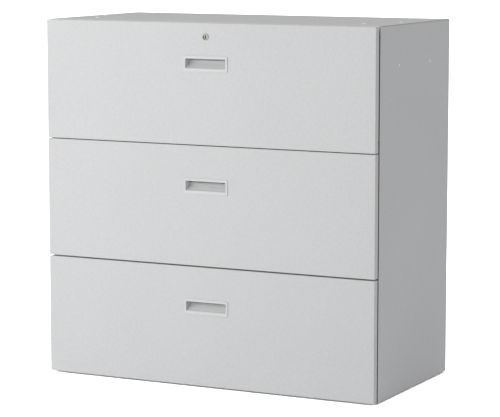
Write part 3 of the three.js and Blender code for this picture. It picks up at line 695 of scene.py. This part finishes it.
# %% Pulls
RIM_PROUD = 2.0
RIM_CORNER = 5.0
RIM_EDGE = 0.8
CUP_WALL = 1.5
CUP_ROUND, CUP_CORNER = 4.0, 2.0
HOLLOW_STEPS = (0, 0.2, 0.6, 1.2, 2.2)  # behind the lip, close together where the hollow climbs fastest

for level in LEVELS:
    node = f"{level}_pull"
    low, high = box_mm(node)
    middle = (low[2] + high[2]) / 2
    rim_half, rim_rise = high[0], high[2] - middle
    front = low[1]
    face = front + RIM_PROUD
    seat = face - HAIR

    def loop(half, below, above, corner, y):
        outline = rounded_outline(-half, half, middle - below, middle + above, corner)
        return [(x, y, z) for x, z in outline]

    cup_half, cup_below, cup_above = MOUTH_HALF + CUP_WALL, MOUTH_LOW + CUP_WALL, HOOK_TOP + CUP_WALL
    shell_back = face + POCKET_DEPTH + CUP_WALL
    outside = []
    for a in arc_steps(4):
        inset = CUP_ROUND * (1 - math.sin(a))
        y = shell_back - CUP_ROUND * (1 - math.cos(a))
        outside.append(loop(cup_half - inset, cup_below - inset, cup_above - inset, CUP_CORNER, y))
    outside.append(loop(cup_half, cup_below, cup_above, CUP_CORNER, seat))
    outside.append(loop(rim_half, rim_rise, rim_rise, RIM_CORNER, seat))
    rim = []
    for a in arc_steps(4):
        inset = RIM_EDGE * (1 - math.cos(a))
        y = front + RIM_EDGE * (1 - math.sin(a))
        rim.append(loop(rim_half - inset, rim_rise - inset, rim_rise - inset, RIM_CORNER - inset, y))
    mouth = []
    for a in arc_steps(5):
        out = 1 - math.sin(a)
        y = front + SILL_ROUND * (1 - math.cos(a))
        mouth.append(loop(MOUTH_HALF + SIDE_ROUND * out, MOUTH_LOW + SILL_ROUND * out,
                          MOUTH_TOP + LIP_ROUND * out, MOUTH_CORNER, y))
    hollow = [loop(MOUTH_HALF, *hollow_edges(LIP_DEPTH + step), MOUTH_CORNER, face + LIP_DEPTH + step)
              for step in HOLLOW_STEPS]
    for a in arc_steps(8):
        inset = 1 - math.cos(a)
        depth = HOLLOW_DEPTH - SCOOP_DEPTH * (1 - math.sin(a))
        below, above = hollow_edges(depth)
        hollow.append(loop(MOUTH_HALF - SCOOP_END * inset, below - SCOOP_LOW * inset, above - SCOOP_TOP * inset,
                           MOUTH_CORNER, face + depth))
    below, above = below - SCOOP_LOW, above - SCOOP_TOP
    for a in arc_steps(3):
        inset = POCKET_ROUND * (1 - math.cos(a))
        y = face + POCKET_DEPTH - POCKET_ROUND * (1 - math.sin(a))
        hollow.append(loop(MOUTH_HALF - SCOOP_END - inset, below - inset, above - inset, MOUTH_CORNER, y))
    bm = bmesh.new()
    loft(bm, outside + rim + mouth + hollow)
    piece(bm, f"{level}_moulded_pull", moulded_abs, f"{level}_drawer", "pull_plastic", node)

# %% [markdown]
# ## Cylinder lock
# The lock housing is a turned flange on a barrel, and the key plug sits a little deeper inside it. From the right,
# the inner wall of the flange shows as a dark crescent and the keyway as a dark dot. Both are turned round the
# lock's axis. The plug's face is then filled round the keyway, whose walls run 10 mm in.

# %% Turned pieces
def turned(bm, profile, place, steps=ROUND_STEPS):
    """Goes round an axis with a profile of (radius, height). It ends on the axis, or closes on itself."""
    rings = []
    for radius, height in profile:
        points = circle(0, 0, radius, steps) if radius else [(0, 0)]
        rings.append([bm.verts.new(place(u, v, height)) for u, v in points])
    pairs = list(zip(rings, rings[1:]))
    if len(rings[0]) > 1 and len(rings[-1]) > 1:
        pairs.append((rings[-1], rings[0]))
    for first, second in pairs:
        if len(first) == len(second):
            ring_faces(bm, first, second)
            continue
        tip, ring = (first[0], second) if len(first) == 1 else (second[0], first)
        for a, b in zip(ring, ring[1:] + ring[:1]):
            bm.faces.new((tip, a, b))


def round_lock(u, v, depth):
    return LOCK_AXIS.x / MM + u, depth, LOCK_AXIS.z / MM + v


print("middle of the lock's face:", [round(value, 1) for value in round_lock(0, 0, LOCK_LOW.y / MM)], "mm")

# %% Lock housing
FLANGE_EDGE = 0.9
BORE_CHAMFER = 0.8
BARREL, BORE = 7.0, 5.6
LOCK_STEPS = 48

low, high = box_mm("lock_housing")
front, back = low[1], high[1]
flange = high[0]
seat = front + RIM_PROUD - HAIR
bm = bmesh.new()
soft = [(flange - FLANGE_EDGE * (1 - math.cos(a)), front + FLANGE_EDGE * (1 - math.sin(a)))
        for a in arc_steps(4)]
turned(bm, [(BARREL, back), (BARREL, seat), (flange, seat), *soft, (BORE + BORE_CHAMFER, front),
            (BORE, front + BORE_CHAMFER), (BORE, back)], round_lock, LOCK_STEPS)
piece(bm, "lock_flange", nickel_plated_brass, "top_drawer", "lock_nickel", "lock_housing")

# %% Lock plug
PLUG_EDGE = 0.4
KEYWAY_HALF, KEYWAY_RISE, KEYWAY_DEPTH, KEYWAY_CORNER = 1.5, 3.5, 10, 0.5

low, high = box_mm("lock_plug")
front, back = low[1], high[1]
core = high[0]
bm = bmesh.new()
shaft = [[round_lock(u, v, y) for u, v in circle(0, 0, radius, LOCK_STEPS)]
         for radius, y in ((core, back), (core, front + PLUG_EDGE), (core - PLUG_EDGE, front))]
rings = loft(bm, shaft, closed_ends=False)
bm.faces.new(rings[0])
slot_outline = rounded_outline(-KEYWAY_HALF, KEYWAY_HALF, -KEYWAY_RISE, KEYWAY_RISE, KEYWAY_CORNER, 3)
keyway = loft(bm, [[round_lock(u, v, y) for u, v in slot_outline] for y in (front, front + KEYWAY_DEPTH)],
              closed_ends=False)
bm.faces.new(keyway[-1])
fill(bm, [rings[-1], keyway[0]])
piece(bm, "lock_key_plug", nickel_plated_brass, "lock_core", "lock_nickel", "lock_plug")

# %% [markdown]
# ## Drawer trays and hanging rails
# A tray is a welded box: floor and sides are one folded sheet with hems along the top, a lower front wall, a back
# wall with a hem, and a catch on the right for the locking bar. The hanging rails are a welded frame of flat bar
# with round corners. Rivets hold the inner slides to the sides.

# %% Trays
HEM = 10
FRONT_HEM = 8
FRONT_WALL_TOP = 130  # above the tray floor
CATCH_LENGTH, CATCH_LOW, CATCH_HIGH = 11, 150, 158
CATCH_SETBACK, CATCH_THICK, CATCH_CORNER = 3, 5, 0.8  # behind the locking bar
HEM_RELIEF = 0.3
RIVET_RADIUS, RIVET_HEIGHT, RIVET_STEPS = 3.6, 1.3, 18
SUNK = 0.1  # the foot of a rivet or cap lies this deep in its sheet
RIVET_LEVEL = 65
RIVET_PLACES = (25, 150, 270, 380)


def rivet(bm, place, radius=RIVET_RADIUS, height=RIVET_HEIGHT):
    """A low dome whose foot lies at height 0."""
    dome = [(radius * math.cos(a), height * math.sin(a)) for a in arc_steps(4)]
    turned(bm, [(0, -SUNK), (radius, -SUNK), *dome[:-1], (0, height)], place, RIVET_STEPS)


for level in LEVELS:
    node = f"{level}_tray"
    low, high = box_mm(node)
    half, front, back, floor_z, top = -low[0], low[1], high[1], low[2], high[2]
    inside = half - SHEET
    bm = bmesh.new()
    trough = [(HEM - half, top), (-half, top), (-half, floor_z), (half, floor_z), (half, top), (half - HEM, top)]
    folded(bm, trough, SHEET, (front, back), along_y)
    wall_top, wall_foot = floor_z + FRONT_WALL_TOP, floor_z + SHEET
    front_wall = [(front + FRONT_HEM, wall_top), (front, wall_top), (front, wall_foot)]
    folded(bm, front_wall, SHEET, (-inside, inside), along_x)
    hem_half = half - HEM - HEM_RELIEF
    back_wall = [(back - HEM, top), (back, top), (back, wall_foot)]
    folded(bm, back_wall, -SHEET, (-hem_half, hem_half), along_x)
    for side in (-1, 1):
        strip = [(back, top - 1.5 * SHEET), (back, wall_foot)]
        folded(bm, strip, -SHEET, sorted((side * (hem_half + HAIR), side * inside)), along_x)
    catch_y = box_mm("lock_bar")[1][1] + CATCH_SETBACK
    catch = rounded_outline(floor_z + CATCH_LOW, floor_z + CATCH_HIGH, catch_y, catch_y + CATCH_THICK,
                            CATCH_CORNER, 3)
    loft(bm, [[(x, y, z) for z, y in catch] for x in (half - SHEET / 2, half + CATCH_LENGTH)])
    piece(bm, f"{level}_tray_sheet", powder_coated_tray, f"{level}_drawer", "tray_paint", node)

    bm = bmesh.new()
    for side in (-1, 1):
        for setback in RIVET_PLACES:
            def on_side(u, v, height):
                return side * (inside - height), front + setback + u, floor_z + RIVET_LEVEL + v
            rivet(bm, on_side)
    piece(bm, f"{level}_tray_rivets", bright_zinc_steel, f"{level}_drawer", "slide_zinc")

# %% Hanging rails
BAR = 3.0
BAR_EDGE = 0.6
BAR_CORNER = 9.0

for level in LEVELS:
    node = f"{level}_hanger_frame"
    low, high = box_mm(node)
    bm = bmesh.new()
    section = [(BAR_EDGE, low[2]), (0, low[2] + BAR_EDGE), (0, high[2] - BAR_EDGE), (BAR_EDGE, high[2]),
               (BAR - BAR_EDGE, high[2]), (BAR, high[2] - BAR_EDGE), (BAR, low[2] + BAR_EDGE),
               (BAR - BAR_EDGE, low[2])]
    loops = []
    for inset, z in section:
        outline = rounded_outline(low[0] + inset, high[0] - inset, low[1] + inset, high[1] - inset,
                                  BAR_CORNER - inset)
        loops.append([(x, y, z) for x, y in outline])
    rings = loft(bm, loops, closed_ends=False)
    ring_faces(bm, rings[-1], rings[0])
    piece(bm, f"{level}_hanging_rails", bright_zinc_steel, f"{level}_drawer", "zinc_steel", node)

# %% [markdown]
# ## Telescopic slides
# Each slide has three channels of drawn steel, one inside the other: the outer one on the uprights, the inner one on
# the tray, and a middle one that moves half as far as the drawer. The bends are wide, as in a race for balls.

# %% Slides
SLIDE_GAUGE = 1.2
RACE_BEND = 2.0
CARRIED_BY = {"outer": "case", "middle": "runner", "inner": "drawer"}

for level in LEVELS:
    for hand, side in (("left", -1), ("right", 1)):
        for member, carrier in CARRIED_BY.items():
            node = f"{level}_{hand}_{member}_slide"
            low, high = box_mm(node)
            web_is_high = (side > 0) != (member == "inner")
            web, lip = (high[0], low[0]) if web_is_high else (low[0], high[0])
            bm = bmesh.new()
            channel = [(lip, high[2]), (web, high[2]), (web, low[2]), (lip, low[2])]
            gauge = -SLIDE_GAUGE if web_is_high else SLIDE_GAUGE
            folded(bm, channel, gauge, (low[1], high[1]), along_y, RACE_BEND)
            body = carrier if carrier == "case" else f"{level}_{carrier}"
            piece(bm, f"{level}_{hand}_{member}_channel", bright_zinc_steel, body, "slide_zinc", node)

# %% [markdown]
# ## Feet, plugs, caps, buffers and back rivets
# The small turned parts: levelling feet with a threaded stem, white plugs in the holes of the top, white caps near
# its front and high on the sides, rubber buffers that keep the fronts off the case, and rivets round the back sheet.

# %% Feet
THREAD_PITCH = 1.75
THREAD_DEPTH = 0.6
STEM = 5.0

for corner in ("front_left", "front_right", "rear_left", "rear_right"):
    node = f"foot_{corner}"
    low, high = box_mm(node)
    x, y, _ = middle_of(node)
    pad = (high[0] - low[0]) / 2
    profile = [(0, low[2]), (pad - 2.5, low[2]), (pad - 0.8, low[2] + 0.5), (pad, low[2] + 1.6), (pad, low[2] + 4),
               (pad - 1, low[2] + 5.4), (pad - 3, low[2] + 6), (STEM + 3, low[2] + 6.4), (STEM, low[2] + 7.5)]
    z = low[2] + 8
    while z < high[2] - THREAD_PITCH:
        profile += [(STEM, z), (STEM - THREAD_DEPTH, z + THREAD_PITCH / 2)]
        z += THREAD_PITCH
    profile += [(STEM - THREAD_DEPTH, high[2] - 0.3), (STEM - 1, high[2]), (0, high[2])]
    bm = bmesh.new()

    def under_foot(u, v, height):
        return x + u, y + v, height

    turned(bm, profile, under_foot)
    piece(bm, f"levelling_{node}", black_polyamide, "case", "foot_plastic", node)

# %% Plugs in the top
PLUG_DOME = 1.8

for node in PLUGS:
    low, high = box_mm(node)
    x, y, _ = middle_of(node)
    collar = (high[0] - low[0]) / 2
    head = high[2] + PLUG_DOME
    under = box_mm("top_panel")[1][2] - SHEET - 0.3
    profile = [(0, low[2]), (PLUG_RADIUS - 0.8, low[2]), (PLUG_RADIUS - 0.3, low[2] + 1), (PLUG_RADIUS, under - 1),
               (collar, under - 1), (collar, under), (PLUG_RADIUS, under), (PLUG_RADIUS, high[2] - 0.2),
               (PLUG_RADIUS - 0.2, high[2] + PLUG_DOME * 0.55), (PLUG_RADIUS * 0.7, head - 0.25), (0, head)]
    bm = bmesh.new()

    def in_hole(u, v, height):
        return x + u, y + v, height

    turned(bm, profile, in_hole)
    piece(bm, f"white_{node}", white_polyethylene, "case", "plug_plastic", node)

# %% Caps on the sides and the top
SIDE_CAP_RADIUS, SIDE_CAP_HEIGHT = 3.2, 0.9
SIDE_CAP_Z, SIDE_CAP_DEPTHS = 785, (-90, 98)
TOP_CAP_RADIUS, TOP_CAP_HEIGHT = 5.5, 1.8
TOP_CAP_X, TOP_CAP_Y = 360, -112


def cap(bm, radius, height, place):
    """A low round head whose foot lies at height 0."""
    turned(bm, [(0, -SUNK), (radius, -SUNK), (radius, height * 0.3), (radius * 0.9, height * 0.7),
                (radius * 0.6, height * 0.95), (0, height)], place)


for hand, side in (("left", -1), ("right", 1)):
    wall = side * box_mm("right_side_panel")[1][0]
    bm = bmesh.new()
    for y in SIDE_CAP_DEPTHS:
        def on_wall(u, v, height):
            return wall + side * height, y + u, SIDE_CAP_Z + v
        cap(bm, SIDE_CAP_RADIUS, SIDE_CAP_HEIGHT, on_wall)
    piece(bm, f"{hand}_hole_caps", white_polyethylene, "case", "plug_plastic")

lid_z = box_mm("top_panel")[1][2]
bm = bmesh.new()
for x in (-TOP_CAP_X, TOP_CAP_X):
    def on_lid(u, v, height):
        return x + u, TOP_CAP_Y + v, lid_z + height
    cap(bm, TOP_CAP_RADIUS, TOP_CAP_HEIGHT, on_lid)
piece(bm, "top_hole_caps", white_polyethylene, "case", "plug_plastic")

# %% Buffers behind the fronts
BUFFER_RADIUS = 5.0
BUFFER_INSET_X, BUFFER_INSET_Z = 14, 24
BUFFER_GAP = 0.3

for level in LEVELS:
    low, high = box_mm(f"{level}_front_shell")
    tall = flange_y - high[1] - BUFFER_GAP
    bm = bmesh.new()
    for x in (low[0] + BUFFER_INSET_X, high[0] - BUFFER_INSET_X):
        for z in (low[2] + BUFFER_INSET_Z, high[2] - BUFFER_INSET_Z):
            def on_flange(u, v, height):
                return x + u, flange_y - height, z + v
            turned(bm, [(0, HAIR), (BUFFER_RADIUS + 1, HAIR), (BUFFER_RADIUS + 1, 2), (BUFFER_RADIUS, 3),
                        (BUFFER_RADIUS * 0.85, tall - 2), (BUFFER_RADIUS * 0.5, tall), (0, tall)], on_flange)
    piece(bm, f"{level}_buffers", black_rubber, "case", "foot_plastic")

# %% Rivets round the back
RIVET_MARGIN = 10
RIVETS_ACROSS, RIVETS_UP = 6, 6
BACK_RIVET_RADIUS, BACK_RIVET_HEIGHT = 4.8, 1.8

low, high = box_mm("back_panel")
left, right = low[0] + RIVET_MARGIN, high[0] - RIVET_MARGIN
foot, head = low[2] + RIVET_MARGIN, high[2] - RIVET_MARGIN
spots = set()
for i in range(RIVETS_ACROSS + 1):
    spots |= {(left + (right - left) * i / RIVETS_ACROSS, z) for z in (foot, head)}
for i in range(RIVETS_UP + 1):
    spots |= {(x, foot + (head - foot) * i / RIVETS_UP) for x in (left, right)}
bm = bmesh.new()
for x, z in sorted(spots):
    def on_back(u, v, height):
        return x + u, high[1] + height, z + v
    rivet(bm, on_back, BACK_RIVET_RADIUS, BACK_RIVET_HEIGHT)
piece(bm, "back_rivets", bright_zinc_steel, "case", "slide_zinc")

# %% [markdown]
# ## Solids that keep their shape
# The liners, the base pan, the top rail, the locking bar with its guide, the cam and the nut are already right as
# solids. They get their finish, and modifiers that merge the triangles of a flat face and round its edges a little.

# %% Finishes for the remaining solids
EDGE_MM = 0.3

KEPT = {
    powder_coated_steel: ["top_front_liner", "middle_front_liner", "bottom_front_liner", "bottom_panel",
                          "top_front_rail"],
    galvanised_steel: ["lock_bar", "lock_bar_guide", "lock_nut", "lock_cam"],
}
for finish, names in KEPT.items():
    for name in names:
        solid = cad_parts[name]
        solid.data.materials.clear()
        solid.data.materials.append(finish)
        solid.modifiers.new("weld", "WELD").merge_threshold = 1e-5
        flats = solid.modifiers.new("flats", "DECIMATE")
        flats.decimate_type = "DISSOLVE"
        flats.angle_limit = math.radians(1)
        edges = solid.modifiers.new("edges", "BEVEL")
        edges.width = EDGE_MM * MM
        edges.segments = 2
        edges.limit_method = "ANGLE"
        solid.modifiers.new("flat_faces", "WEIGHTED_NORMAL").keep_sharp = True
print("solids kept:", sum(len(names) for names in KEPT.values()))
